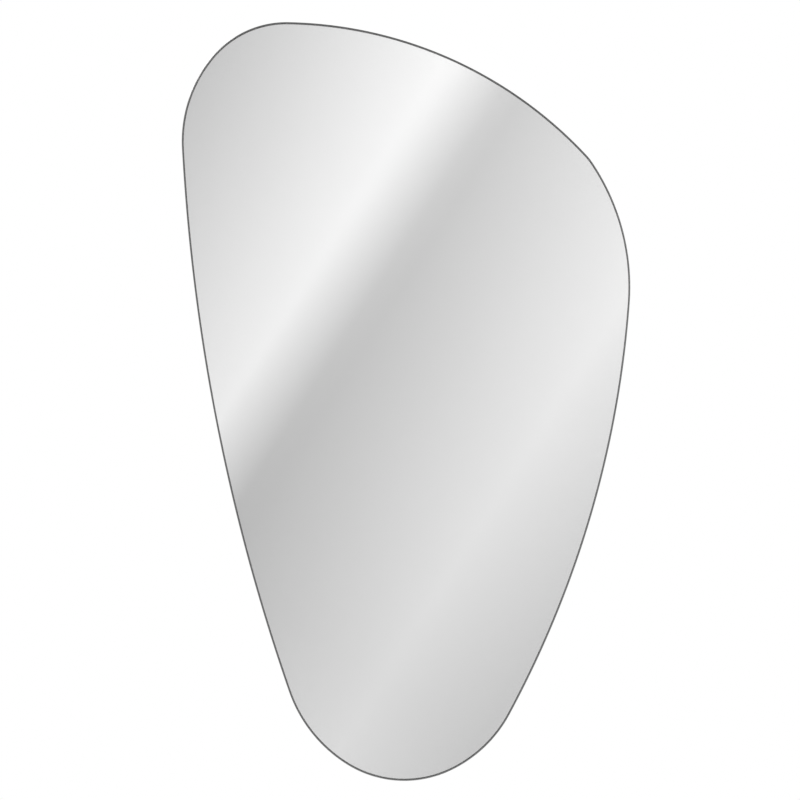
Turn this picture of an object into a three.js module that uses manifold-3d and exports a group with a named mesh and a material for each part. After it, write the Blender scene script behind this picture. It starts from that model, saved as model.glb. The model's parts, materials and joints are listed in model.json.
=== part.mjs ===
// A frameless wall mirror with an irregular, egg-like outline: a silvered glass pane with a polished
// edge, bonded to a smaller backing board that carries two ring hangers and four rubber bumpers.
//
// Millimetres. +Z is up, the glass faces -Y, and the wall is the plane y = 0. The origin is on the
// wall, midway between the two wall hooks, at the height where the hanger rings bear on them.
// Left and right are as seen from the front.

import * as THREE from 'three';
import { mergeVertices } from 'three/addons/utils/BufferGeometryUtils.js';
import Module from 'manifold-3d';

// Outline: ten arcs that run into each other without a corner
const UPPER_LEFT_RADIUS = 148;
const CROWN_RADIUS = 108;
const SHOULDER_RADIUS = 72;
const RIGHT_CORNER_RADIUS = 249;
const RIGHT_SIDE_RADIUS = 1146;
const TAIL_RIGHT_RADIUS = 146;
const TAIL_LOW_RADIUS = 121;
const TAIL_LEFT_RADIUS = 157;

// The arcs walked clockwise as seen from the front, with how far each turns, in degrees. The top
// side and the left side take the radii that close the outline, and the left side makes the rest of
// the full turn.
const START_HEADING = 93.1;
const OUTLINE_WALK = [
  { name: 'upper left corner', radius: UPPER_LEFT_RADIUS, turn: 42.6 },
  { name: 'crown', radius: CROWN_RADIUS, turn: 51.5 },
  { name: 'top side', radius: null, turn: 46 },
  { name: 'shoulder', radius: SHOULDER_RADIUS, turn: 9.2 },
  { name: 'right corner', radius: RIGHT_CORNER_RADIUS, turn: 38 },
  { name: 'right side', radius: RIGHT_SIDE_RADIUS, turn: 24.2 },
  { name: 'tail, right part', radius: TAIL_RIGHT_RADIUS, turn: 36.3 },
  { name: 'tail, lowest part', radius: TAIL_LOW_RADIUS, turn: 57.5 },
  { name: 'tail, left part', radius: TAIL_LEFT_RADIUS, turn: 38.6 },
  { name: 'left side', radius: null, turn: null },
];
const OUTLINE_SAG = 0.08;

// Pane
const GLASS_THICKNESS = 4;
const GLASS_EDGE_ROUND = 1.8;
const EDGE_ROUND_STEPS = 3;
const SILVER_THICKNESS = 0.1;
const PAINT_THICKNESS = 0.1;
const FILM_THICKNESS = 0.25;
const FILM_INSET = 4;

// Bond between pane and board: upright beads of adhesive and strips of tape, in turn
const BOND_THICKNESS = 1.5;
const BOND_SIDE_MARGIN = 50;
const BOND_END_MARGIN = 18;
const TAPE_WIDTH = 25;
const BEAD_WIDTH = 12;
const BEAD_END_STEPS = 6;

// Board
const BOARD_THICKNESS = 9;
const BOARD_INSET = 35;
const BOARD_CHAMFER = 1;

// Bumpers
const BUMPER_HEIGHT = 7;
const BUMPER_BASE_RADIUS = 8;
const BUMPER_FACE_RADIUS = 7;
const BUMPER_EDGE_ROUND = 1.2;
const BUMPER_ROUND_STEPS = 3;
const BUMPER_MARGIN = 22;
const UPPER_BUMPER_ANGLE = 42;
const LOWER_BUMPER_ANGLE = 42;

// Hanger rings, bent from wire
const HOOK_SPACING = 240;
const HOOKS_BELOW_TOP = 180;
const WIRE_RADIUS = 1.25;
const RING_HALF_WIDTH = 10;
const RING_DEPTH = 16;
const RING_CORNER_RADIUS = 3;
const RING_BUTT_GAP = 0.4;
const WIRE_STEPS = 40;
const WIRE_SIDES = 10;

// Hanger straps, each folded round the straight bar of its ring
const STRAP_SHEET = 1;
const STRAP_WIDTH = 12;
const STRAP_FOLD_GAP = 0.1;
const EYE_CLEARANCE = 0.3;
const FIRST_SCREW_BELOW_BAR = 9;
const SCREW_SPACING = 14;
const STRAP_END_MARGIN = 6;
const STRAP_HOLE_CLEARANCE = 0.25;
const STRAP_BEND_STEPS = 10;

// Strap screws
const SCREW_RADIUS = 1.75;
const SCREW_CORE_RADIUS = 1.2;
const SCREW_LENGTH = 9.5;
const SCREW_TIP_LENGTH = 2.4;
const SCREW_PITCH = 1.4;
const SCREW_HEAD_RADIUS = 3.4;
const SCREW_HEAD_HEIGHT = 2.2;
const SCREW_HEAD_RIM = 0.8;
const RECESS_SPAN = 3.8;
const RECESS_SLOT = 0.9;
const RECESS_DEPTH = 1.3;
const PILOT_CLEARANCE = 0.3;
const CROWN_STEPS = 4;

// Sides of the small turned pieces and of the drilled holes
const BUMPER_SIDES = 24;
const SCREW_SIDES = 16;
const HOLE_SIDES = 16;

// Gap that a ring keeps to the board or to its strap at the ends of its swing
const REST_GAP = 0.3;

// Where the layers lie, from the wall to the front
const BOARD_BACK = -BUMPER_HEIGHT;
const BOARD_FRONT = BOARD_BACK - BOARD_THICKNESS;
const FILM_BACK = BOARD_FRONT - BOND_THICKNESS;
const PAINT_BACK = FILM_BACK - FILM_THICKNESS;
const SILVER_BACK = PAINT_BACK - PAINT_THICKNESS;
const GLASS_BACK = SILVER_BACK - SILVER_THICKNESS;

// The strap's eye and the ring's bar share one axis, this far behind the board's rear face
const EYE_INNER_RADIUS = WIRE_RADIUS + EYE_CLEARANCE;
const BAR_STANDOFF = STRAP_SHEET + EYE_INNER_RADIUS;
const STRAP_THICKNESS = 2 * STRAP_SHEET + STRAP_FOLD_GAP;

// Swung up, a ring leans on the board, and its far end bears on the hook at the height z = 0
const RING_LEAN = Math.asin((BAR_STANDOFF - WIRE_RADIUS - REST_GAP) / RING_DEPTH);
const BAR_HEIGHT = WIRE_RADIUS - RING_DEPTH * Math.cos(RING_LEAN);

const wasm = await Module();
wasm.setup();

const { degToRad, lerp } = THREE.MathUtils;

const material = (name, color, roughness, metalness = 0) =>
  new THREE.MeshStandardMaterial({ name, color, roughness, metalness });

const materials = {
  glass: material('polished glass', 0xdfe8e5, 0.03),
  silver: material('silvering', 0xe6e9ea, 0.02, 1),
  paint: material('grey backing paint', 0x75797a, 0.55),
  film: material('woven safety film', 0xd9dde0, 0.5),
  tape: material('white foam tape', 0xe4e3de, 0.9),
  adhesive: material('cured adhesive', 0xcfc8b8, 0.6),
  board: material('fibreboard', 0xa98a63, 0.85),
  rubber: material('black rubber', 0x2a2a2b, 0.8),
  zinc: material('zinc-plated steel', 0xb9bcbd, 0.35, 1),
};

function solidOf(geometry) {
  const bare = geometry.clone();
  bare.deleteAttribute('normal');
  bare.deleteAttribute('uv');
  const merged = mergeVertices(bare);
  const mesh = new wasm.Mesh({
    numProp: 3,
    vertProperties: new Float32Array(merged.attributes.position.array),
    triVerts: new Uint32Array(merged.index.array),
  });
  return new wasm.Manifold(mesh);
}

function geometryOf(solid) {
  const { vertProperties, triVerts } = solid.getMesh();
  const geometry = new THREE.BufferGeometry();
  geometry.setAttribute('position', new THREE.BufferAttribute(vertProperties, 3));
  geometry.setIndex(new THREE.BufferAttribute(triVerts, 1));
  geometry.computeVertexNormals();
  return geometry;
}

function piece(name, geometry, itsMaterial) {
  const mesh = new THREE.Mesh(geometry, itsMaterial);
  mesh.name = name;
  return mesh;
}

// ---- Outline ----

const outward = (heading) => new THREE.Vector2(-Math.sin(heading), Math.cos(heading));

// Gives the two arcs with no radius theirs, so that the walk ends where it began.
function closeWalk(arcs) {
  const drift = new THREE.Vector2();
  const [first, second] = arcs.filter((arc) => arc.radius === null);
  for (const arc of arcs) {
    drift.addScaledVector(arc.step, arc.radius ?? 0);
  }
  const spread = first.step.cross(second.step);
  first.radius = second.step.cross(drift) / spread;
  second.radius = -first.step.cross(drift) / spread;
}

function layOutArcs() {
  const given = OUTLINE_WALK.reduce((sum, arc) => sum + (arc.turn ?? 0), 0);
  let heading = degToRad(START_HEADING);
  const arcs = OUTLINE_WALK.map(({ radius, turn }) => {
    const from = heading;
    heading -= degToRad(turn ?? 360 - given);
    return { radius, from, to: heading, step: outward(heading).sub(outward(from)) };
  });
  closeWalk(arcs);
  const place = new THREE.Vector2();
  for (const arc of arcs) {
    arc.centre = place.clone().addScaledVector(outward(arc.from), -arc.radius);
    place.addScaledVector(arc.step, arc.radius);
  }
  return arcs;
}

const arcs = layOutArcs();

const pointAt = (arc, heading, inset) =>
  arc.centre.clone().addScaledVector(outward(heading), arc.radius - inset);

// The outline, drawn in by `inset` all round.
function outlinePoints(inset) {
  return arcs.flatMap((arc) => {
    const stepAngle = 2 * Math.acos(1 - OUTLINE_SAG / arc.radius);
    const count = Math.ceil((arc.from - arc.to) / stepAngle);
    const headings = Array.from({ length: count }, (_, i) => lerp(arc.from, arc.to, i / count));
    return headings.map((heading) => pointAt(arc, heading, inset));
  });
}

// The point whose outward normal stands at `angle` degrees from +X, drawn in by `inset`.
function edgePoint(angle, inset) {
  const start = degToRad(START_HEADING);
  const turned = THREE.MathUtils.euclideanModulo(start - degToRad(angle - 90), 2 * Math.PI);
  const heading = start - turned;
  const arc = arcs.find(({ to }) => heading >= to) ?? arcs.at(-1);
  return pointAt(arc, heading, inset);
}

// Lowest and highest point of the drawn-in outline on the upright line at x.
function chordAt(x, inset) {
  const points = outlinePoints(inset);
  const heights = [];
  points.forEach((point, i) => {
    const next = points[(i + 1) % points.length];
    if ((point.x < x) !== (next.x < x)) {
      heights.push(lerp(point.y, next.y, (x - point.x) / (next.x - point.x)));
    }
  });
  return { low: Math.min(...heights), high: Math.max(...heights) };
}

function centreOfArea(points) {
  const centre = new THREE.Vector2();
  let doubleArea = 0;
  points.forEach((point, i) => {
    const next = points[(i + 1) % points.length];
    const cross = point.cross(next);
    doubleArea += cross;
    centre.addScaledVector(point, cross).addScaledVector(next, cross);
  });
  return centre.divideScalar(3 * doubleArea);
}

// The mirror's centre of area hangs below the middle of the hook line.
const originOnOutline = new THREE.Vector2(
  centreOfArea(outlinePoints(0)).x,
  edgePoint(90, HOOKS_BELOW_TOP).y,
);
arcs.forEach((arc) => arc.centre.sub(originOnOutline));

// ---- Pane and board ----

// A layer with the mirror's outline. `back` is the y of its rear face.
function layer(name, itsMaterial, { back, inset, thickness, edge = 0, edgeSteps = 1 }) {
  const shape = new THREE.Shape(outlinePoints(inset));
  const geometry = new THREE.ExtrudeGeometry(shape, {
    depth: thickness - 2 * edge,
    bevelEnabled: edge > 0,
    bevelThickness: edge,
    bevelSize: edge,
    bevelOffset: -edge,
    bevelSegments: edgeSteps,
  });
  geometry.translate(0, 0, edge);
  geometry.rotateX(Math.PI / 2);
  geometry.translate(0, back, 0);
  return piece(name, geometry, itsMaterial);
}

function makePane() {
  return [
    layer('mirror_glass', materials.glass, {
      back: GLASS_BACK,
      inset: 0,
      thickness: GLASS_THICKNESS,
      edge: GLASS_EDGE_ROUND,
      edgeSteps: EDGE_ROUND_STEPS,
    }),
    layer('silver_layer', materials.silver, {
      back: SILVER_BACK,
      inset: GLASS_EDGE_ROUND,
      thickness: SILVER_THICKNESS,
    }),
    layer('backing_paint', materials.paint, {
      back: PAINT_BACK,
      inset: GLASS_EDGE_ROUND,
      thickness: PAINT_THICKNESS,
    }),
    layer('safety_film', materials.film, {
      back: FILM_BACK,
      inset: FILM_INSET,
      thickness: FILM_THICKNESS,
    }),
  ];
}

const hangers = [
  { side: 'left', x: -HOOK_SPACING / 2 },
  { side: 'right', x: HOOK_SPACING / 2 },
];
const screwPlaces = [
  { row: 'upper', z: BAR_HEIGHT - FIRST_SCREW_BELOW_BAR },
  { row: 'lower', z: BAR_HEIGHT - FIRST_SCREW_BELOW_BAR - SCREW_SPACING },
];

function makeBoard() {
  const board = layer('backing_board', materials.board, {
    back: BOARD_BACK,
    inset: BOARD_INSET,
    thickness: BOARD_THICKNESS,
    edge: BOARD_CHAMFER,
  });
  const holeRadius = SCREW_RADIUS + PILOT_CLEARANCE;
  const holeDepth = SCREW_LENGTH - STRAP_THICKNESS + PILOT_CLEARANCE;
  const hole = new THREE.CylinderGeometry(holeRadius, holeRadius, 2 * holeDepth, HOLE_SIDES);
  let solid = solidOf(board.geometry);
  for (const { x } of hangers) {
    for (const { z } of screwPlaces) {
      solid = solid.subtract(solidOf(hole.clone().translate(x, BOARD_BACK, z)));
    }
  }
  board.geometry = geometryOf(solid);
  return board;
}

// ---- Bond ----

function bondSpan(x, width) {
  const sides = [chordAt(x - width / 2, BOARD_INSET), chordAt(x + width / 2, BOARD_INSET)];
  const low = Math.max(...sides.map((side) => side.low)) + BOND_END_MARGIN;
  const high = Math.min(...sides.map((side) => side.high)) - BOND_END_MARGIN;
  return { length: high - low, middle: (high + low) / 2 };
}

const bondMiddle = BOARD_FRONT - BOND_THICKNESS / 2;

function makeTape(name, x) {
  const { length, middle } = bondSpan(x, TAPE_WIDTH);
  const geometry = new THREE.BoxGeometry(TAPE_WIDTH, BOND_THICKNESS, length);
  geometry.translate(x, bondMiddle, middle);
  return piece(name, geometry, materials.tape);
}

// A bead pressed flat, with round ends.
function makeBead(name, x) {
  const { length, middle } = bondSpan(x, BEAD_WIDTH);
  const radius = BEAD_WIDTH / 2;
  const reach = length / 2 - radius;
  const shape = new THREE.Shape();
  shape.absarc(0, reach, radius, 0, Math.PI);
  shape.absarc(0, -reach, radius, Math.PI, 2 * Math.PI);
  const geometry = new THREE.ExtrudeGeometry(shape, {
    depth: BOND_THICKNESS,
    bevelEnabled: false,
    curveSegments: BEAD_END_STEPS,
  });
  geometry.rotateX(Math.PI / 2);
  geometry.translate(x, BOARD_FRONT, middle);
  return piece(name, geometry, materials.adhesive);
}

const bondLines = [
  { name: 'adhesive_bead_outer_left', make: makeBead },
  { name: 'foam_tape_left', make: makeTape },
  { name: 'adhesive_bead_inner_left', make: makeBead },
  { name: 'foam_tape_middle', make: makeTape },
  { name: 'adhesive_bead_inner_right', make: makeBead },
  { name: 'foam_tape_right', make: makeTape },
  { name: 'adhesive_bead_outer_right', make: makeBead },
];

// The lines stand evenly apart over the width of the board.
function makeBond() {
  const left = edgePoint(180, BOARD_INSET + BOND_SIDE_MARGIN).x;
  const right = edgePoint(0, BOARD_INSET + BOND_SIDE_MARGIN).x;
  return bondLines.map(({ name, make }, i) => {
    return make(name, lerp(left, right, i / (bondLines.length - 1)));
  });
}

// ---- Bumpers ----

const bumperPlaces = [
  { name: 'bumper_upper_left', angle: 180 - UPPER_BUMPER_ANGLE },
  { name: 'bumper_upper_right', angle: UPPER_BUMPER_ANGLE },
  { name: 'bumper_lower_left', angle: 180 + LOWER_BUMPER_ANGLE },
  { name: 'bumper_lower_right', angle: -LOWER_BUMPER_ANGLE },
];

// A tapered rubber button, glued to the board by its wide end.
function makeBumper({ name, angle }) {
  const profile = new THREE.Path();
  profile.moveTo(0, BOARD_BACK);
  profile.lineTo(BUMPER_BASE_RADIUS, BOARD_BACK);
  profile.lineTo(BUMPER_FACE_RADIUS, -BUMPER_EDGE_ROUND);
  profile.quadraticCurveTo(BUMPER_FACE_RADIUS, 0, BUMPER_FACE_RADIUS - BUMPER_EDGE_ROUND, 0);
  profile.lineTo(0, 0);
  const place = edgePoint(angle, BOARD_INSET + BUMPER_MARGIN);
  const geometry = new THREE.LatheGeometry(profile.getPoints(BUMPER_ROUND_STEPS), BUMPER_SIDES);
  geometry.translate(place.x, 0, place.y);
  return piece(name, geometry, materials.rubber);
}

// ---- Hangers ----

// The wire from one butted end, round the loop, to the other. The ends meet in the middle of the bar.
function wireLine() {
  const corner = RING_HALF_WIDTH - RING_CORNER_RADIUS;
  const shoulderHeight = RING_DEPTH - RING_HALF_WIDTH;
  const line = new THREE.Path();
  line.moveTo(RING_BUTT_GAP / 2, 0);
  line.lineTo(corner, 0);
  line.absarc(corner, RING_CORNER_RADIUS, RING_CORNER_RADIUS, -Math.PI / 2, 0);
  line.absarc(0, shoulderHeight, RING_HALF_WIDTH, 0, Math.PI);
  line.absarc(-corner, RING_CORNER_RADIUS, RING_CORNER_RADIUS, Math.PI, 1.5 * Math.PI);
  line.lineTo(-RING_BUTT_GAP / 2, 0);
  return line;
}

function makeRing({ side, x }) {
  const points = wireLine().getSpacedPoints(WIRE_STEPS);
  const path = new THREE.CatmullRomCurve3(points.map(({ x: across, y: up }) => {
    return new THREE.Vector3(across, 0, up);
  }));
  const corners = Array.from({ length: WIRE_SIDES }, (_, i) => {
    const angle = (2 * Math.PI * i) / WIRE_SIDES;
    return new THREE.Vector2(WIRE_RADIUS * Math.cos(angle), WIRE_RADIUS * Math.sin(angle));
  });
  const geometry = new THREE.ExtrudeGeometry(new THREE.Shape(corners), {
    steps: WIRE_STEPS,
    extrudePath: path,
  });
  const swing = new THREE.Group();
  swing.position.set(x, BOARD_BACK + BAR_STANDOFF, BAR_HEIGHT);
  swing.rotation.x = RING_LEAN;
  swing.add(piece(`hanger_ring_${side}`, geometry, materials.zinc));
  return swing;
}

// Side view of the folded strap's middle line, with the bar's axis at 0, 0. It runs up the leaf on
// the board, round the bar, and back down onto itself. First coordinate: away from the board.
function strapMiddleLine(end) {
  const eye = EYE_INNER_RADIUS + STRAP_SHEET / 2;
  const upperLeaf = 1.5 * STRAP_SHEET + STRAP_FOLD_GAP - BAR_STANDOFF;
  const fold = Math.acos((eye + upperLeaf) / (2 * eye));
  const line = new THREE.Path();
  line.moveTo(-eye, end);
  line.lineTo(-eye, 0);
  line.absarc(0, 0, eye, Math.PI, -fold, true);
  line.absarc(2 * eye * Math.cos(fold), -2 * eye * Math.sin(fold), eye, Math.PI - fold, Math.PI);
  line.lineTo(upperLeaf, end);
  return line;
}

// The middle line thickened to the sheet, as a closed outline.
function strapProfile(end) {
  const line = strapMiddleLine(end);
  const stations = line.curves.flatMap((curve) => {
    const steps = curve.isLineCurve ? 1 : STRAP_BEND_STEPS;
    const places = Array.from({ length: steps + 1 }, (_, i) => i / steps);
    return places.map((t) => ({ point: curve.getPoint(t), along: curve.getTangent(t) }));
  });
  const apart = stations.filter(({ point }, i) => {
    return i === 0 || point.distanceTo(stations[i - 1].point) > STRAP_FOLD_GAP;
  });
  const offset = (half) => ({ point, along }) =>
    new THREE.Vector2(point.x - along.y * half, point.y + along.x * half);
  const outer = apart.map(offset(STRAP_SHEET / 2));
  const inner = apart.map(offset(-STRAP_SHEET / 2));
  return new THREE.Shape([...outer, ...inner.reverse()]);
}

function makeStrap({ side, x }) {
  const end = -(FIRST_SCREW_BELOW_BAR + SCREW_SPACING + STRAP_END_MARGIN);
  const folded = new THREE.ExtrudeGeometry(strapProfile(end), {
    depth: STRAP_WIDTH,
    bevelEnabled: false,
  });
  const toRow = new THREE.Matrix4().makeBasis(
    new THREE.Vector3(0, 1, 0),
    new THREE.Vector3(0, 0, 1),
    new THREE.Vector3(1, 0, 0),
  );
  folded.translate(0, 0, -STRAP_WIDTH / 2);
  folded.applyMatrix4(toRow);

  const plan = new THREE.Shape();
  const half = STRAP_WIDTH / 2;
  const reach = 2 * BAR_STANDOFF;
  plan.moveTo(half, reach);
  plan.lineTo(-half, reach);
  plan.absarc(0, end + half, half, Math.PI, 2 * Math.PI);
  const planBlock = new THREE.ExtrudeGeometry(plan, { depth: 2 * reach, bevelEnabled: false });
  planBlock.rotateX(Math.PI / 2);
  planBlock.translate(0, reach, 0);

  const holeRadius = SCREW_RADIUS + STRAP_HOLE_CLEARANCE;
  const drill = new THREE.CylinderGeometry(holeRadius, holeRadius, 4 * STRAP_THICKNESS, HOLE_SIDES);
  const hole = drill.translate(0, -BAR_STANDOFF, -BAR_HEIGHT);
  let solid = solidOf(folded).intersect(solidOf(planBlock));
  for (const { z } of screwPlaces) {
    solid = solid.subtract(solidOf(hole.clone().translate(0, 0, z)));
  }
  const mesh = piece(`hanger_strap_${side}`, geometryOf(solid), materials.zinc);
  mesh.position.set(x, BOARD_BACK + BAR_STANDOFF, BAR_HEIGHT);
  return mesh;
}

// Half of the screw's section, from the tip to the crown, with the seat of its head at 0.
function screwProfile() {
  const profile = [new THREE.Vector2(0, -SCREW_LENGTH)];
  const threadEnd = SCREW_TIP_LENGTH - SCREW_LENGTH;
  const turns = Math.floor((-threadEnd - SCREW_PITCH) / SCREW_PITCH);
  for (let turn = 0; turn < turns; turn += 1) {
    const low = threadEnd + turn * SCREW_PITCH;
    profile.push(new THREE.Vector2(SCREW_CORE_RADIUS, low));
    profile.push(new THREE.Vector2(SCREW_RADIUS, low + SCREW_PITCH / 2));
  }
  profile.push(new THREE.Vector2(SCREW_CORE_RADIUS, threadEnd + turns * SCREW_PITCH));
  profile.push(new THREE.Vector2(SCREW_CORE_RADIUS, 0));
  profile.push(new THREE.Vector2(SCREW_HEAD_RADIUS, 0));
  for (let step = 0; step <= CROWN_STEPS; step += 1) {
    const angle = (step / CROWN_STEPS) * (Math.PI / 2);
    const height = lerp(SCREW_HEAD_RIM, SCREW_HEAD_HEIGHT, Math.sin(angle));
    profile.push(new THREE.Vector2(SCREW_HEAD_RADIUS * Math.cos(angle), height));
  }
  profile.at(-1).x = 0;
  return profile;
}

function screwGeometry() {
  const slot = new THREE.BoxGeometry(RECESS_SPAN, 2 * RECESS_DEPTH, RECESS_SLOT);
  slot.translate(0, SCREW_HEAD_HEIGHT, 0);
  const crossSlot = slot.clone().rotateY(Math.PI / 2);
  const body = solidOf(new THREE.LatheGeometry(screwProfile(), SCREW_SIDES));
  return geometryOf(body.subtract(solidOf(slot)).subtract(solidOf(crossSlot)));
}

function makeScrews() {
  const geometry = screwGeometry();
  return hangers.flatMap(({ side, x }) => screwPlaces.map(({ row, z }) => {
    const screw = piece(`strap_screw_${side}_${row}`, geometry, materials.zinc);
    screw.position.set(x, BOARD_BACK + STRAP_THICKNESS, z);
    return screw;
  }));
}

const mirror = new THREE.Group();
mirror.add(...makePane());
mirror.add(...makeBond());
mirror.add(makeBoard());
mirror.add(...bumperPlaces.map(makeBumper));
mirror.add(...hangers.map(makeStrap));
mirror.add(...hangers.map(makeRing));
mirror.add(...makeScrews());

export default mirror;
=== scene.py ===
"""Looks of a frameless wall mirror with an irregular, egg-like outline.

The pieces are built round the packed frame and stand in a plain studio. Metres: +Z is up, the glass
faces -Y, and the wall is the plane y = 0. Left and right are as seen from the front.
"""

import json
import math

import bmesh
import bpy
from bpy.props import FloatProperty, FloatVectorProperty, PointerProperty
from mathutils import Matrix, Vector


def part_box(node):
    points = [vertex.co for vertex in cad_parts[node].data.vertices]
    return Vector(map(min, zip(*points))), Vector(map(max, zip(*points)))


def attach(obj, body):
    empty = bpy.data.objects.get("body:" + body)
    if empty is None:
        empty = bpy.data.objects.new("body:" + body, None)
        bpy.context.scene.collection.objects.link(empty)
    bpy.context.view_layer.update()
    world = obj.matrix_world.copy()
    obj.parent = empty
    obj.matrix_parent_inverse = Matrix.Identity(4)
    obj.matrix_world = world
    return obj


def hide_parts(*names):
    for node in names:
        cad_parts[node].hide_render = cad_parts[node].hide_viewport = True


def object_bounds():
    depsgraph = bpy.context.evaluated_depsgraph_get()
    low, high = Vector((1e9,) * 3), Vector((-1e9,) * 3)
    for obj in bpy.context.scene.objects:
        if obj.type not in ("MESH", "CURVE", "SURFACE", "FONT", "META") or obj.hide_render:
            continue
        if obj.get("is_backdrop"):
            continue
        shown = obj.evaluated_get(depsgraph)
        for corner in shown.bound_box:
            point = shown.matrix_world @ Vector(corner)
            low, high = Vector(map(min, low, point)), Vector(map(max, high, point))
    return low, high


bl_info = {
    "name": "Irregular Wall Mirror",
    "version": (1, 0, 0),
    "blender": (4, 5, 0),
    "location": "3D View > Sidebar > Mirror",
    "description": "Builds a frameless wall mirror piece by piece, back and hangers included",
    "category": "Add Mesh",
}

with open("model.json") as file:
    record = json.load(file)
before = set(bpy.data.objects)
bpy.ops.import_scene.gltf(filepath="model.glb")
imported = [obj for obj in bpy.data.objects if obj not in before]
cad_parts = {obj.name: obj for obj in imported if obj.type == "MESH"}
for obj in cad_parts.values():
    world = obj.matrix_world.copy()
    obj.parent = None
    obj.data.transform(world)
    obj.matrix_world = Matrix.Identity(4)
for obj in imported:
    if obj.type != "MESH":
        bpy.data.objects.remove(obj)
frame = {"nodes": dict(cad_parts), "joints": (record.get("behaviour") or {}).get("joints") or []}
CAD_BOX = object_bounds()
BOARD_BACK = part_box("backing_board")[1].y

# The outline's arcs, walked clockwise as seen from the front: the size that holds the radius, and
# the turn in degrees. The two arcs with no size take the radii that close the outline, and the last
# one makes the rest of the full turn.
START_HEADING = 93.1
OUTLINE_WALK = (
    ("upper_left", 42.6),
    ("crown", 51.5),
    (None, 46.0),
    ("shoulder", 9.2),
    ("right_corner", 38.0),
    ("right_side", 24.2),
    ("tail_right", 36.3),
    ("tail_low", 57.5),
    ("tail_left", 38.6),
    (None, None),
)
# How far a straight step of the outline may fall short of its arc.
OUTLINE_SAG = 0.00001

MERGE_DISTANCE = 0.000001
# Too small to see, and enough to keep surfaces from lying in each other.
HAIR_GAP = 0.00003
# A face is square to Y when this much of its normal lies along Y.
SQUARE_NORMAL = 0.9999
ACROSS = Vector((1, 0, 0))
TO_WALL = Vector((0, 1, 0))
UP = Vector((0, 0, 1))


# ---- Sizes and colours that a user would change ----


def length(name, description, default):
    return FloatProperty(
        name=name, description=description, default=default, unit="LENGTH", precision=5
    )


def colour(name, description, default):
    return FloatVectorProperty(
        name=name,
        description=description,
        default=default,
        subtype="COLOR",
        size=4,
        min=0,
        max=1,
    )


def grey(level):
    return (level, level, level, 1)


class MirrorOutline(bpy.types.PropertyGroup):
    """Radii of the arcs that run into each other round the mirror"""

    upper_left: length("Upper Left Corner", "Radius of the corner at the upper left", 0.148)
    crown: length("Crown", "Radius of the crown beside the upper left corner", 0.108)
    shoulder: length("Shoulder", "Radius of the short shoulder at the upper right", 0.072)
    right_corner: length("Right Corner", "Radius of the soft corner at the right", 0.249)
    right_side: length("Right Side", "Radius of the long right side", 1.146)
    tail_right: length("Tail Right", "Radius of the right part of the tail", 0.146)
    tail_low: length("Tail Low", "Radius of the lowest part of the tail", 0.121)
    tail_left: length("Tail Left", "Radius of the left part of the tail", 0.157)


class MirrorSizes(bpy.types.PropertyGroup):
    """Sizes of the pane, its layers, the board and the bond"""

    edge_round: length("Edge Round", "Radius of the glass's polished edge", 0.0018)
    film_inset: length("Film Inset", "From the glass's rim to the edge of the film", 0.004)
    board_inset: length("Board Inset", "From the glass's rim to the edge of the board", 0.035)
    board_chamfer: length("Board Chamfer", "Chamfer round both faces of the board", 0.001)
    pilot_radius: length("Pilot Hole", "Radius of the screws' holes in the board", 0.00205)
    pilot_room: length("Pilot Room", "Depth of those holes past the screws' tips", 0.0003)
    bond_round: length("Bond Round", "Rounding of the pressed tapes and beads", 0.0006)


class HangerSizes(bpy.types.PropertyGroup):
    """Sizes of the hanger rings, their straps and the screws"""

    wire_radius: length("Wire Radius", "Radius of the ring's wire", 0.00125)
    ring_half_width: length("Ring Half Width", "Half of the ring's width at the wire", 0.010)
    ring_depth: length("Ring Depth", "From the bar to the far end of the ring", 0.016)
    ring_corner: length("Ring Corner", "Radius of the ring's corners at the bar", 0.003)
    butt_gap: length("Butt Gap", "Gap between the wire's ends, inside the strap", 0.0004)
    rest_gap: length("Rest Gap", "Gap from the leaning ring to the board", 0.0003)
    strap_sheet: length("Strap Sheet", "Thickness of the strap's sheet", 0.001)
    fold_gap: length("Fold Gap", "Gap between the strap's two leaves", 0.0001)
    strap_hole: length("Strap Hole", "Radius of the screws' holes in the strap", 0.002)
    head_radius: length("Head Radius", "Radius of a screw's head", 0.0034)
    head_rim: length("Head Rim", "Height of the upright rim of a screw's head", 0.0008)
    core_radius: length("Core Radius", "Radius of a screw's core", 0.0012)
    thread_radius: length("Thread Radius", "Radius of a screw over its thread", 0.00175)
    pitch: length("Pitch", "Distance between two ridges of a screw's thread", 0.0014)
    tip_length: length("Tip Length", "Length of a screw's tip", 0.0024)
    recess_span: length("Recess Span", "Width of the cross recess in a screw's head", 0.0038)
    recess_slot: length("Recess Slot", "Width of each slot of the cross recess", 0.0009)
    recess_depth: length("Recess Depth", "Depth of the cross recess", 0.0013)
    cut_ease: length("Cut Ease", "Rounding of the cut edges of wire and sheet", 0.00012)
    screw_ease: length("Screw Ease", "Rounding of a screw's sharp edges", 0.0001)


class BumperSizes(bpy.types.PropertyGroup):
    """Sizes of the rubber bumpers"""

    face_radius: length("Face Radius", "Radius at the wall, before it is rounded", 0.007)
    face_round: length("Face Round", "Radius of the rounding at the wall", 0.0012)
    base_round: length("Base Round", "Radius of the rounding at the board", 0.0004)


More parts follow.
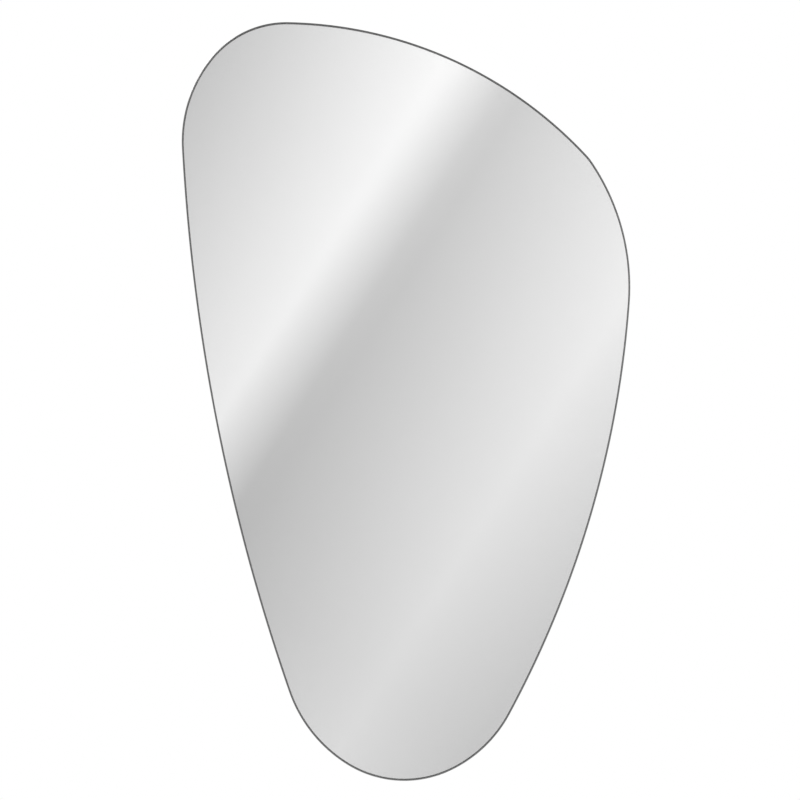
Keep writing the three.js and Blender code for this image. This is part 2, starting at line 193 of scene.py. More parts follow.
class MirrorFinishes(bpy.types.PropertyGroup):
    """Colours of the mirror's materials"""

    glass: colour("Glass", "Clear glass", grey(0.99))
    # The polished edge's colours are painted: dark painted shade near both faces of the glass, and
    # lighter, greener painted light in its middle.
    edge: colour("Polished Edge", "Polished edge, near both faces of the glass", grey(0.11))
    edge_middle: colour("Edge Middle", "Middle of the polished edge", (0.13, 0.16, 0.148, 1))
    silver: colour("Silver", "Silvering behind the glass", grey(0.96))
    paint: colour("Backing Paint", "Protective paint over the silver", (0.175, 0.19, 0.19, 1))
    # The film's two colours are painted light and shade: the raised threads painted lit, the gaps
    # between them painted shaded.
    film_light: colour("Film Threads", "Raised threads of the film", (0.72, 0.76, 0.79, 1))
    film_dark: colour("Film Gaps", "Film between its threads", (0.47, 0.50, 0.53, 1))
    foam: colour("Foam", "Closed-cell foam tape", (0.74, 0.74, 0.70, 1))
    adhesive: colour("Adhesive", "Cured mirror adhesive", (0.60, 0.55, 0.46, 1))
    board_light: colour("Board Light", "Pale fibres of the board", (0.50, 0.34, 0.19, 1))
    board_dark: colour("Board Dark", "Dark fibres of the board", (0.30, 0.185, 0.095, 1))
    rubber: colour("Rubber", "Black rubber of the bumpers", grey(0.012))
    zinc: colour("Zinc", "Bright zinc plating", (0.62, 0.64, 0.66, 1))
    zinc_shade: colour("Zinc Shade", "Duller patches of the plating", (0.42, 0.44, 0.47, 1))


class StudioSettings(bpy.types.PropertyGroup):
    """Where the camera stands and how the studio is lit"""

    lens: FloatProperty(name="Lens", description="Focal length", default=100, unit="CAMERA")
    aim: FloatVectorProperty(
        name="Aim",
        description="Point halfway through the glass, at the middle of the picture",
        default=(-0.00146, -0.01995, -0.24327),
        subtype="TRANSLATION",
    )
    view_width: length("View Width", "Width of the picture at the glass", 0.8962)
    floor_drop: length("Floor Drop", "From the mirror's lowest point down to the floor", 0.9)
    floor_radius: length("Floor Radius", "Where the floor has faded into white", 3.6)
    floor: colour("Floor", "Pale floor", grey(0.86))
    ambient: FloatProperty(name="Ambient", description="Strength of the even light", default=0.62)


# ---- Shaping in edit mode ----


def set_down():
    """Leaves edit mode with nothing selected."""
    if bpy.context.mode != "OBJECT":
        bpy.ops.object.mode_set(mode="OBJECT")
    bpy.ops.object.select_all(action="DESELECT")


def make_active(piece):
    set_down()
    piece.select_set(True)
    bpy.context.view_layer.objects.active = piece


def begin(name):
    """Names the primitive just added, applies its place and opens it in edit mode."""
    bpy.ops.object.transform_apply(location=True, rotation=True, scale=True)
    piece = bpy.context.object
    piece.name = name
    piece.data.name = name
    bpy.ops.object.mode_set(mode="EDIT")
    bpy.ops.mesh.select_mode(type="VERT")
    return piece


def add_point(name, place):
    """A new piece of one vertex at place, left in edit mode with the vertex selected."""
    set_down()
    bpy.ops.mesh.primitive_plane_add(size=HAIR_GAP, location=place)
    piece = begin(name)
    bpy.ops.mesh.merge(type="CENTER")
    return piece


def add_block(name, low, high):
    """A new box between two corners, left in edit mode."""
    set_down()
    bpy.ops.mesh.primitive_cube_add(size=1, location=(low + high) / 2, scale=high - low)
    return begin(name)


def push(step):
    """Extrudes what is selected by step."""
    bpy.ops.mesh.extrude_region_move(TRANSFORM_OT_translate={"value": step})


def sweep(angle, centre, axis, steps):
    """Spins what is selected about an axis, by the right-hand rule."""
    bpy.ops.mesh.spin(steps=steps, angle=-angle, center=centre, axis=axis)


def select_whole():
    bpy.ops.mesh.select_all(action="SELECT")


def select(piece, kind, test):
    """Selects only the verts, edges or faces that pass the test, in that select mode."""
    bpy.ops.mesh.select_mode(type={"verts": "VERT", "edges": "EDGE", "faces": "FACE"}[kind])
    bpy.ops.mesh.select_all(action="DESELECT")
    mesh = bmesh.from_edit_mesh(piece.data)
    for item in getattr(mesh, kind):
        if test(item):
            item.select_set(True)
    bmesh.update_edit_mesh(piece.data)


def close_up():
    """Merges what lies together and turns all faces outwards."""
    bpy.ops.mesh.select_mode(type="VERT")
    select_whole()
    bpy.ops.mesh.remove_doubles(threshold=MERGE_DISTANCE)
    bpy.ops.mesh.normals_make_consistent(inside=False)


def revolve(centre, steps):
    """Turns the profile that is being drawn into a solid round an axis along Y."""
    select_whole()
    sweep(2 * math.pi, centre, TO_WALL, steps)
    close_up()


def apply_modifier(piece, kind, **settings):
    make_active(piece)
    modifier = piece.modifiers.new(kind, kind)
    for setting, value in settings.items():
        setattr(modifier, setting, value)
    bpy.ops.object.modifier_apply(modifier=modifier.name)


def ease_edges(piece, width, segments=2, angle=35):
    """Rounds the piece's edges that are sharper than angle."""
    apply_modifier(
        piece,
        "BEVEL",
        width=width,
        segments=segments,
        limit_method="ANGLE",
        angle_limit=math.radians(angle),
    )


def cut_away(piece, cutters):
    """Cuts the cutters' shapes out of the piece and deletes the cutters."""
    for cutter in cutters:
        apply_modifier(piece, "BOOLEAN", operation="DIFFERENCE", solver="EXACT", object=cutter)
        bpy.data.objects.remove(cutter)


DRILL_SIDES = 32
# How far a drill stands out of the piece that it cuts.
DRILL_EXCESS = 0.001


def add_drill(radius, start, end):
    """A cutter for a round hole from start to end along Y."""
    set_down()
    bpy.ops.mesh.primitive_cylinder_add(
        vertices=DRILL_SIDES,
        radius=radius,
        depth=(end - start).length,
        location=(start + end) / 2,
        rotation=(math.pi / 2, 0, 0),
    )
    drill = begin("drill")
    set_down()
    return drill


def copy_piece(original, name, step, centre, angle):
    """A copy with its own mesh, moved by step and then turned about an axis along Y."""
    make_active(original)
    bpy.ops.object.duplicate(linked=False)
    piece = begin(name)
    select_whole()
    bpy.ops.transform.translate(value=step)
    bpy.ops.transform.rotate(value=angle, orient_axis="Y", center_override=centre)
    set_down()
    return piece


def smooth(piece, angle=30):
    make_active(piece)
    bpy.ops.object.shade_smooth_by_angle(angle=math.radians(angle))


def place_on_frame(piece, body, node, slot, *coats):
    """Gives a finished piece its materials and its body, and hides the CAD node that it stands for.
    """
    for coat in coats:
        piece.data.materials.append(coat)
    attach(piece, body)
    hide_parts(node)


# ---- Outline ----


def turned(vector):
    """The vector turned a quarter in the plane of x and z, from +Z towards +X."""
    return Vector((vector.z, 0, -vector.x))


def outward(heading):
    """The way out of the outline where the walk runs along heading."""
    return Vector((-math.sin(heading), 0, math.cos(heading)))


class Arc:
    """One arc of the outline. Its heading is the direction of the walk at its start."""

    def __init__(self, radius, heading, turn):
        self.radius = radius
        self.heading = heading
        self.turn = turn
        self.step = outward(heading - turn) - outward(heading)
        self.centre = Vector((0, 0, 0))

    def steps(self):
        return math.ceil(self.turn / (2 * math.acos(1 - OUTLINE_SAG / self.radius)))

    def point(self, share, inset):
        return self.centre + outward(self.heading - share * self.turn) * (self.radius - inset)


def close_walk(arcs):
    """Gives the two arcs with no radius theirs, so that the walk ends where it began."""
    first, second = (arc for arc in arcs if arc.radius is None)
    drift = sum((arc.step * arc.radius for arc in arcs if arc.radius), Vector((0, 0, 0)))
    spread = turned(first.step).dot(second.step)
    first.radius = turned(second.step).dot(drift) / spread
    second.radius = -turned(first.step).dot(drift) / spread


def outline_arcs():
    """The outline's arcs, laid where the CAD pane has its left side and its top."""
    sizes = bpy.context.scene.mirror_outline
    given = sum(turn for _, turn in OUTLINE_WALK if turn)
    heading = math.radians(START_HEADING)
    arcs = []
    for name, turn in OUTLINE_WALK:
        radius = getattr(sizes, name) if name else None
        arcs.append(Arc(radius, heading, math.radians(turn or 360 - given)))
        heading -= arcs[-1].turn
    close_walk(arcs)
    place = Vector((0, 0, 0))
    for arc in arcs:
        arc.centre = place - outward(arc.heading) * arc.radius
        place = place + arc.step * arc.radius
    points = [arc.point(step / arc.steps(), 0) for arc in arcs for step in range(arc.steps())]
    left = min(point.x for point in points)
    top = max(point.z for point in points)
    low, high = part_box("mirror_glass")
    shift = Vector((low.x - left, 0, high.z - top))
    for arc in arcs:
        arc.centre += shift
    return arcs


def add_layer(name, node, inset, gap=0):
    """A flat solid with the mirror's outline drawn in by inset, as deep as the node less gap."""
    low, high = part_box(node)
    front = TO_WALL * low.y
    arcs = outline_arcs()
    piece = add_point(name, front + arcs[0].point(0, inset))
    for arc in arcs:
        sweep(arc.turn, front + arc.centre, TO_WALL, arc.steps())
    select_whole()
    bpy.ops.mesh.remove_doubles(threshold=MERGE_DISTANCE)
    bpy.ops.mesh.edge_face_add()
    push(TO_WALL * (high.y - low.y - gap))
    close_up()
    return piece


def on_a_face(piece):
    """A test for edges that lie in the piece's front or rear face."""
    depths = [vert.co.y for vert in bmesh.from_edit_mesh(piece.data).verts]

    def near(vert, depth):
        return abs(vert.co.y - depth) < MERGE_DISTANCE

    return lambda edge: any(
        all(near(vert, depth) for vert in edge.verts) for depth in (min(depths), max(depths))
    )


def round_rims(piece, width, segments):
    """Rounds the rims of the two flat faces, and keeps those faces flat to the eye."""
    select(piece, "edges", on_a_face(piece))
    bpy.ops.mesh.bevel(offset=width, segments=segments, affect="EDGES", clamp_overlap=False)
    select(piece, "edges", on_a_face(piece))
    bpy.ops.mesh.mark_sharp()


def paint_rim(piece):
    """Gives all faces but the flat front and back the second material."""
    for face in piece.data.polygons:
        if abs(face.normal.y) < SQUARE_NORMAL:
            face.material_index = 1


# ---- Materials ----

GLASS_IOR = 1.52
# Most of a noise's values lie between these two.
NOISE_LOW = 0.3
NOISE_HIGH = 0.7


class NodeBuilder:
    """Adds nodes to a tree, with their inputs set to values or linked to sockets."""

    def __init__(self, tree):
        self.tree = tree

    def node(self, kind, inputs, **settings):
        made = self.tree.nodes.new(kind)
        for name, value in settings.items():
            setattr(made, name, value)
        for name, value in inputs.items():
            if isinstance(value, bpy.types.NodeSocket):
                self.tree.links.new(value, made.inputs[name])
            else:
                made.inputs[name].default_value = value
        return made

    def math(self, operation, *values):
        return self.node("ShaderNodeMath", dict(enumerate(values)), operation=operation).outputs[0]

    def mapped(self, value, start, end, low=0, high=1, **settings):
        """A number that goes from low to high as value goes from start to end."""
        inputs = dict(enumerate((value, start, end, low, high)))
        return self.node("ShaderNodeMapRange", inputs, **settings).outputs["Result"]

    def ramp(self, share, stops):
        """The colour at share along the stops, each a place and a colour."""
        made = self.node("ShaderNodeValToRGB", {"Fac": share})
        elements = made.color_ramp.elements
        while len(elements) < len(stops):
            elements.new(1)
        for element, (place, shade) in zip(elements, stops):
            element.position = place
            element.color = shade
        return made.outputs["Color"]


class Finish(NodeBuilder):
    """A node material under construction, with its Principled shader."""

    def __init__(self, name, values):
        self.material = bpy.data.materials.new(name)
        self.material.use_nodes = True
        super().__init__(self.material.node_tree)
        self.shader = self.tree.nodes["Principled BSDF"]
        for socket, value in values.items():
            self.shader.inputs[socket].default_value = value
        self.place = self.node("ShaderNodeTexCoord", {}).outputs["Object"]

    def feed(self, socket, value):
        self.tree.links.new(value, self.shader.inputs[socket])

    def stretched(self, factors, place=None):
        """The piece's own coordinates, scaled by one factor along each axis."""
        inputs = {"Vector": place or self.place, "Scale": factors}
        return self.node("ShaderNodeMapping", inputs).outputs[0]

    def bent(self, reach, scale):
        """The piece's own coordinates, pushed about by up to half of reach."""
        sway = self.node("ShaderNodeTexNoise", {"Vector": self.place, "Scale": scale})
        inputs = {0: sway.outputs["Color"], 1: (reach, reach, reach), 2: self.place}
        return self.node("ShaderNodeVectorMath", inputs, operation="MULTIPLY_ADD").outputs[0]

    def noise(self, scale, detail=2.0, place=None):
        inputs = {"Vector": place or self.place, "Scale": scale, "Detail": detail}
        return self.node("ShaderNodeTexNoise", inputs).outputs["Fac"]

    def spread(self, share, low, high):
        """A number from low to high as share goes over most of a noise's values."""
        return self.mapped(share, NOISE_LOW, NOISE_HIGH, low, high)

    def colour(self, share, stops):
        """The surface's colour at share along the stops."""
        self.feed("Base Color", self.ramp(share, stops))

    def shades(self, share, shade, low, high):
        """The surface's colour, from low to high times shade."""
        self.colour(share, [(NOISE_LOW, scaled(shade, low)), (NOISE_HIGH, scaled(shade, high))])

    def roughness(self, share, low, high):
        """The surface's roughness, from low to high."""
        self.feed("Roughness", self.spread(share, low, high))

    def bump(self, height, depth):
        """Fine relief, depth metres deep."""
        normal = self.node("ShaderNodeBump", {"Height": height, "Distance": depth})
        self.feed("Normal", normal.outputs["Normal"])


def scaled(shade, factor):
    return tuple(min(1, level * factor) for level in shade[:3]) + (1,)


def clear_glass(colours):
    finish = Finish("clear_glass", {"Transmission Weight": 1, "Roughness": 0, "IOR": GLASS_IOR})
    finish.shades(finish.noise(6), colours.glass, 0.997, 1)
    return finish.material


# How far the edge's bands of colour stray, as a share of the glass's thickness.
EDGE_STRAY = 0.3


def polished_edge(colours):
    """The polished edge, painted opaque: dark painted shade in place of what the clear glass shows,
    with a lighter, greener middle of painted light where light runs inside it.
    """
    finish = Finish("polished_edge", {"IOR": GLASS_IOR, "Specular IOR Level": 1.0})
    front, back = (corner.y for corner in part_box("mirror_glass"))
    depth = finish.node("ShaderNodeSeparateXYZ", {"Vector": finish.place}).outputs["Y"]
    waver = finish.noise(90, detail=3)
    stray = finish.math("MULTIPLY_ADD", waver, EDGE_STRAY, -EDGE_STRAY / 2)
    # Across the glass's thickness: painted shade near both faces, painted light in the middle, and
    # darker towards the back.
    finish.colour(
        finish.math("ADD", finish.mapped(depth, front, back), stray),
        [(0.2, colours.edge), (0.55, colours.edge_middle), (0.9, scaled(colours.edge, 0.8))],
    )
    finish.roughness(finish.noise(1500), 0.08, 0.2)
    return finish.material


def bright_silver(colours):
    finish = Finish("bright_silver", {"Metallic": 1, "Roughness": 0})
    finish.shades(finish.noise(5), colours.silver, 0.995, 1)
    return finish.material


def grey_paint(colours):
    finish = Finish("grey_paint", {})
    finish.shades(finish.noise(25, detail=4), colours.paint, 0.85, 1.15)
    finish.roughness(finish.noise(300), 0.45, 0.65)
    finish.bump(finish.noise(700, detail=3), 0.00005)
    return finish.material


# Width of a thread of the film, the power that flattens its round, and how much of the weave's
# height stays at the gaps and is added where two threads cross.
# The same height paints the film's colour: painted shade at the gaps, painted highlights where
# threads rise and cross.
FILM_THREAD = 0.0016
THREAD_POWER = 0.5
GAP_HEIGHT = 0.5
CROSSING_HEIGHT = 0.4


def woven_film(colours):
    """Flat threads woven over and under each other, coloured by their height: painted shade in the
    gaps, painted highlights on the raised threads and their crossings.
    """
    finish = Finish("woven_film", {"Specular IOR Level": 0.4})
    cells = finish.stretched((1 / FILM_THREAD,) * 3)
    threads = finish.node("ShaderNodeSeparateXYZ", {"Vector": cells}).outputs

    def ridges(axis):
        half_turns = finish.math("MULTIPLY", threads[axis], math.pi)
        return finish.math("ABSOLUTE", finish.math("SINE", half_turns))

    across = ridges("X")
    along = ridges("Z")
    inputs = {"X": threads["X"], "Y": threads["Z"], "Z": 0.5}
    middle_of_cells = finish.node("ShaderNodeCombineXYZ", inputs).outputs[0]
    over = finish.node("ShaderNodeTexChecker", {"Vector": middle_of_cells, "Scale": 1.0})
    inputs = {
        "Factor": over.outputs["Fac"],
        "A": finish.math("POWER", across, THREAD_POWER),
        "B": finish.math("POWER", along, THREAD_POWER),
    }
    thread = finish.node("ShaderNodeMix", inputs)
    crossing = finish.math("MULTIPLY", across, along)
    rise = finish.math("MULTIPLY_ADD", crossing, CROSSING_HEIGHT, GAP_HEIGHT)
    weave = finish.math("MULTIPLY", thread.outputs["Result"], rise)
    cloud = finish.noise(14, detail=3)
    # The weave's height sets the colour: painted shade low in the gaps, painted highlights on the
    # raised threads.
    finish.colour(
        finish.math("MULTIPLY", weave, finish.spread(cloud, 0.85, 1.0)),
        [(0.15, colours.film_dark), (0.75, colours.film_light)],
    )
    finish.roughness(cloud, 0.38, 0.55)
    finish.bump(weave, 0.0001)
    return finish.material


def white_foam(colours):
    finish = Finish("white_foam", {"Specular IOR Level": 0.3})
    cells = finish.node("ShaderNodeTexVoronoi", {"Vector": finish.place, "Scale": 2500.0})
    # Painted shade: the foam is darker in its cells' hollows, where the bump sinks.
    finish.shades(cells.outputs["Distance"], colours.foam, 0.8, 1.05)
    finish.roughness(finish.noise(200), 0.8, 0.95)
    finish.bump(cells.outputs["Distance"], 0.0001)
    return finish.material


def cured_adhesive(colours):
    finish = Finish("cured_adhesive", {})
    cloud = finish.noise(160, detail=4)
    finish.shades(cloud, colours.adhesive, 0.85, 1.1)
    finish.roughness(cloud, 0.3, 0.5)
    finish.bump(cloud, 0.0003)
    return finish.material


# How the board's noises are stretched along each axis to make fibres that lie three ways, and how
# much of its colour comes from its fine ground, its wide clouds and what the fibres are taken from.
FIBRE_WAYS = ((1, 1, 0.15), (0.15, 1, 1), (0.4, 1, 0.4))
GROUND_SHARE = 0.5
CLOUD_SHARE = 0.18
BASE_SHARE = 0.7


def fibreboard(colours, name, darkness, roughness):
    """Pressed wood fibres: a fine even ground with short dark fibres lying every way."""
    finish = Finish(name, {"Specular IOR Level": 0.3})
    ground = finish.noise(2600, detail=4)
    bent = finish.bent(0.0025, 350)
    first, second, third = (
        finish.noise(1900, detail=3, place=finish.stretched(way, bent)) for way in FIBRE_WAYS
    )
    fibres = finish.math("MAXIMUM", finish.math("MAXIMUM", first, second), third)
    clouds = finish.math("MULTIPLY", finish.noise(9, detail=3), CLOUD_SHARE)
    plain = finish.math("MULTIPLY_ADD", ground, GROUND_SHARE, clouds)
    share = finish.math("ADD", finish.math("SUBTRACT", plain, fibres), BASE_SHARE)
    dark = scaled(colours.board_dark, darkness)
    light = scaled(colours.board_light, darkness)
    finish.colour(share, [(0.25, dark), (0.55, light)])
    finish.roughness(ground, *roughness)
    finish.bump(ground, 0.00015)
    return finish.material


def board_face(colours):
    return fibreboard(colours, "board_face", darkness=1.0, roughness=(0.75, 0.92))


def board_edge(colours):
    """The sealed edge, darker and smoother than the faces."""
    return fibreboard(colours, "board_edge", darkness=0.62, roughness=(0.5, 0.7))


def black_rubber(colours):
    finish = Finish("black_rubber", {"Specular IOR Level": 0.4})
    finish.shades(finish.noise(400, detail=4), colours.rubber, 0.7, 1.6)
    finish.roughness(finish.noise(120, detail=3), 0.5, 0.75)
    finish.bump(finish.noise(1800, detail=3), 0.00008)
    return finish.material


def zinc_plating(colours):
    """Bright plating with faint duller patches and fine drawing lines."""
    finish = Finish("zinc_plating", {"Metallic": 1})
    patches = finish.noise(350, detail=4)
    finish.colour(patches, [(0.35, colours.zinc_shade), (0.6, colours.zinc)])
    lines = finish.noise(1200, detail=3, place=finish.stretched((3, 3, 0.25)))
    mean = finish.math("MULTIPLY", finish.math("ADD", patches, lines), 1 / 2)
    finish.roughness(mean, 0.2, 0.42)
    finish.bump(lines, 0.00002)
    return finish.material


# ---- Pieces ----


def nodes_named(start):
    """The CAD nodes whose names begin with start, in order."""
    return sorted(node for node in frame["nodes"] if node.startswith(start))


def middle(low, high, depth):
    """The middle of a box between two corners as seen from the front, at y = depth."""
    return Vector(((low.x + high.x) / 2, depth, (low.z + high.z) / 2))


def material(maker):
    """The material that has its maker's name, made once."""
    made = bpy.data.materials.get(maker.__name__)
    return made or maker(bpy.context.scene.mirror_finishes)


def place_steel(piece, body, node):
    place_on_frame(piece, body, node, "zinc_plated_steel", material(zinc_plating))


class MIRROR_OT_add_pane(bpy.types.Operator):
    """Adds the clear glass with its polished round edge"""

    bl_idname = "mirror.add_pane"
    bl_label = "Glass Pane"
    bl_options = {"REGISTER", "UNDO"}

    edge_segments = 8

    def execute(self, context):
        piece = add_layer("pane", "mirror_glass", 0, gap=HAIR_GAP)
        round_rims(piece, context.scene.mirror_sizes.edge_round, self.edge_segments)
        smooth(piece)
        coats = (material(clear_glass), material(polished_edge))
        place_on_frame(piece, "mirror_body", "mirror_glass", "polished_glass", *coats)
        paint_rim(piece)
        return {"FINISHED"}


class MIRROR_OT_add_backing(bpy.types.Operator):
    """Adds the silvering, its paint and the safety film behind the glass"""

    bl_idname = "mirror.add_backing"
    bl_label = "Silver, Paint and Film"
    bl_options = {"REGISTER", "UNDO"}

    def execute(self, context):
        sizes = context.scene.mirror_sizes
        for name, node, inset, slot, maker in (
            ("silver_coat", "silver_layer", sizes.edge_round, "silvering", bright_silver),
            ("paint_coat", "backing_paint", sizes.edge_round, "backing_paint", grey_paint),
            ("film_sheet", "safety_film", sizes.film_inset, "safety_film", woven_film),
        ):
            piece = add_layer(name, node, inset)
            smooth(piece)
            place_on_frame(piece, "mirror_body", node, slot, material(maker))
        return {"FINISHED"}


class MIRROR_OT_add_bond(bpy.types.Operator):
    """Adds the foam tapes and adhesive beads between the pane and the board"""

    bl_idname = "mirror.add_bond"
    bl_label = "Tapes and Adhesive"
    bl_options = {"REGISTER", "UNDO"}

    bead_steps = 16

    def add_bead(self, name, low, high):
        radius = (high.x - low.x) / 2
        top = Vector((low.x + radius, low.y, high.z - radius))
        bottom = Vector((low.x + radius, low.y, low.z + radius))
        piece = add_point(name, top - ACROSS * radius)
        sweep(math.pi, top, TO_WALL, self.bead_steps)
        push(bottom - top)
        sweep(math.pi, bottom, TO_WALL, self.bead_steps)
        select_whole()
        bpy.ops.mesh.edge_face_add()
        push(TO_WALL * (high.y - low.y))
        close_up()
        return piece

    def execute(self, context):
        for start, add, slot, maker in (
            ("adhesive_bead", self.add_bead, "adhesive", cured_adhesive),
            ("foam_tape", add_block, "foam_tape", white_foam),
        ):
            for node in nodes_named(start):
                piece = add("pressed_" + node, *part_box(node))
                ease_edges(piece, context.scene.mirror_sizes.bond_round, segments=3)
                smooth(piece)
                place_on_frame(piece, "mirror_body", node, slot, material(maker))
        return {"FINISHED"}


def screw_seats():
    """Node name and place on the board's back of each strap screw."""
    return [(node, middle(*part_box(node), BOARD_BACK)) for node in nodes_named("strap_screw")]


class MIRROR_OT_add_board(bpy.types.Operator):
    """Adds the fibreboard behind the pane, with the holes for the hangers' screws"""

    bl_idname = "mirror.add_board"
    bl_label = "Backing Board"
    bl_options = {"REGISTER", "UNDO"}

    def execute(self, context):
        sizes = context.scene.mirror_sizes
        piece = add_layer("fibreboard_panel", "backing_board", sizes.board_inset)
        round_rims(piece, sizes.board_chamfer, segments=2)
        drills = []
        for node, seat in screw_seats():
            tip = Vector((seat.x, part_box(node)[0].y, seat.z))
            foot = tip - TO_WALL * sizes.pilot_room
            drills.append(add_drill(sizes.pilot_radius, foot, seat + TO_WALL * DRILL_EXCESS))
        cut_away(piece, drills)
        smooth(piece)
        coats = (material(board_face), material(board_edge))
        place_on_frame(piece, "mirror_body", "backing_board", "fibreboard", *coats)
        paint_rim(piece)
        return {"FINISHED"}


class MIRROR_OT_add_bumpers(bpy.types.Operator):
    """Adds the rubber bumpers that keep the board off the wall"""

    bl_idname = "mirror.add_bumpers"
    bl_label = "Rubber Bumpers"
    bl_options = {"REGISTER", "UNDO"}

    sides = 64
    round_steps = 5

    def add_bumper(self, name, low, high):
        sizes = bpy.context.scene.mirror_bumpers
        base_radius = (high.x - low.x) / 2
        centre = middle(low, high, low.y)
        base_round = sizes.base_round
        face_round = sizes.face_round
        height = high.y - low.y
        face_centre = Vector((sizes.face_radius - face_round, height - face_round, 0))
        piece = add_point(name, centre)
        push(ACROSS * (base_radius - base_round))
        corner = centre + Vector((base_radius - base_round, base_round, 0))
        sweep(math.pi / 2, corner, UP, self.round_steps)
        start = Vector((base_radius, base_round, 0))
        push(face_centre + ACROSS * face_round - start)
        sweep(math.pi / 2, centre + face_centre, UP, self.round_steps)
        push(-ACROSS * face_centre.x)
        revolve(centre, self.sides)
        return piece

    def execute(self, context):
        for node in nodes_named("bumper"):
            piece = self.add_bumper("rubber_" + node, *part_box(node))
            smooth(piece, angle=40)
            place_on_frame(piece, "mirror_body", node, "bumper_rubber", material(black_rubber))
        return {"FINISHED"}


class Hanger:
    """Where one hanger's bar lies, and what hangs on it."""

    def __init__(self, side):
        name = f"{side}_ring_swing"
        (joint,) = (joint for joint in frame["joints"] if joint["name"] == name)
        self.side = side
        self.bar = Vector(joint["pos_m"])
        self.body = joint["child"]


def hangers():
    return [Hanger(side) for side in ("left", "right")]


class MIRROR_OT_add_rings(bpy.types.Operator):
    """Adds the wire rings, swung up and leaning on the board"""

    bl_idname = "mirror.add_rings"
    bl_label = "Hanger Rings"
    bl_options = {"REGISTER", "UNDO"}

    wire_sides = 24
    corner_steps = 10
    loop_steps = 48

    def add_ring(self, hanger):
        sizes = bpy.context.scene.mirror_hangers
        standoff = hanger.bar.y - BOARD_BACK
        lean = math.asin((standoff - sizes.wire_radius - sizes.rest_gap) / sizes.ring_depth)
        away = Vector((0, -math.sin(lean), math.cos(lean)))
        axis = ACROSS.cross(away)
        corner = sizes.ring_half_width - sizes.ring_corner
        shoulder = sizes.ring_depth - sizes.ring_half_width
        set_down()
        bpy.ops.mesh.primitive_circle_add(
            vertices=self.wire_sides,
            radius=sizes.wire_radius,
            fill_type="NGON",
            location=hanger.bar + ACROSS * sizes.butt_gap / 2,
            rotation=(0, math.pi / 2, 0),
        )
        piece = begin(f"ring_{hanger.side}")
        select_whole()
        push(ACROSS * (corner - sizes.butt_gap / 2))
        inner = away * sizes.ring_corner
        sweep(math.pi / 2, hanger.bar + ACROSS * corner + inner, axis, self.corner_steps)
        push(away * (shoulder - sizes.ring_corner))
        sweep(math.pi, hanger.bar + away * shoulder, axis, self.loop_steps)
        push(-away * (shoulder - sizes.ring_corner))
        sweep(math.pi / 2, hanger.bar - ACROSS * corner + inner, axis, self.corner_steps)
        push(ACROSS * (corner - sizes.butt_gap / 2))
        close_up()
        return piece

    def execute(self, context):
        for hanger in hangers():
            piece = self.add_ring(hanger)
            ease_edges(piece, context.scene.mirror_hangers.cut_ease, angle=60)
            smooth(piece, angle=40)
            place_steel(piece, hanger.body, f"hanger_ring_{hanger.side}")
        return {"FINISHED"}


class MIRROR_OT_add_straps(bpy.types.Operator):
    """Adds the folded straps that hold the rings' bars"""

    bl_idname = "mirror.add_straps"
    bl_label = "Hanger Straps"
    bl_options = {"REGISTER", "UNDO"}

    eye_steps = 24
    bend_steps = 8
    end_segments = 12
    # Just under half of the width, so that the two rounded corners of a leaf's end don't meet.
    end_round = 0.49

    def add_strap(self, hanger):
        """The sheet's middle, drawn up a leaf, round the bar and down a leaf, then thickened."""
        sizes = bpy.context.scene.mirror_hangers
        low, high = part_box(f"hanger_strap_{hanger.side}")
        width = high.x - low.x
        sheet = sizes.strap_sheet
        leaf = hanger.bar.z - low.z
        standoff = hanger.bar.y - BOARD_BACK
        eye = standoff - sheet / 2
        upper_leaf = sheet / 2 + sheet + sizes.fold_gap - standoff
        fold = math.acos((eye + upper_leaf) / (2 * eye))
        bend = Vector((0, 2 * eye * math.cos(fold), -2 * eye * math.sin(fold)))

        piece = add_point(f"strap_{hanger.side}", Vector((low.x, BOARD_BACK + sheet / 2, low.z)))
        push(ACROSS * width)
        select_whole()
        push(UP * leaf)
        sweep(math.pi + fold, hanger.bar, -ACROSS, self.eye_steps)
        sweep(fold, hanger.bar + bend, ACROSS, self.bend_steps)
        push(-UP * (leaf + bend.z))
        close_up()
        select(piece, "verts", lambda vert: vert.co.z < low.z + MERGE_DISTANCE)
        bpy.ops.mesh.bevel(
            offset=self.end_round * width,
            segments=self.end_segments,
            affect="VERTICES",
            clamp_overlap=False,
        )
        apply_modifier(piece, "SOLIDIFY", thickness=sheet, offset=0, use_even_offset=True)
        return piece

    def drill_holes(self, piece, hanger):
        radius = bpy.context.scene.mirror_hangers.strap_hole
        reach = hanger.bar.y - BOARD_BACK
        drills = [
            add_drill(radius, seat - TO_WALL * DRILL_EXCESS, seat + TO_WALL * reach)
            for node, seat in screw_seats()
            if hanger.side in node
        ]
        cut_away(piece, drills)

    def execute(self, context):
        for hanger in hangers():
            piece = self.add_strap(hanger)
            self.drill_holes(piece, hanger)
            ease_edges(piece, context.scene.mirror_hangers.cut_ease, angle=50)
            smooth(piece, angle=35)
            place_steel(piece, "mirror_body", f"hanger_strap_{hanger.side}")
        return {"FINISHED"}


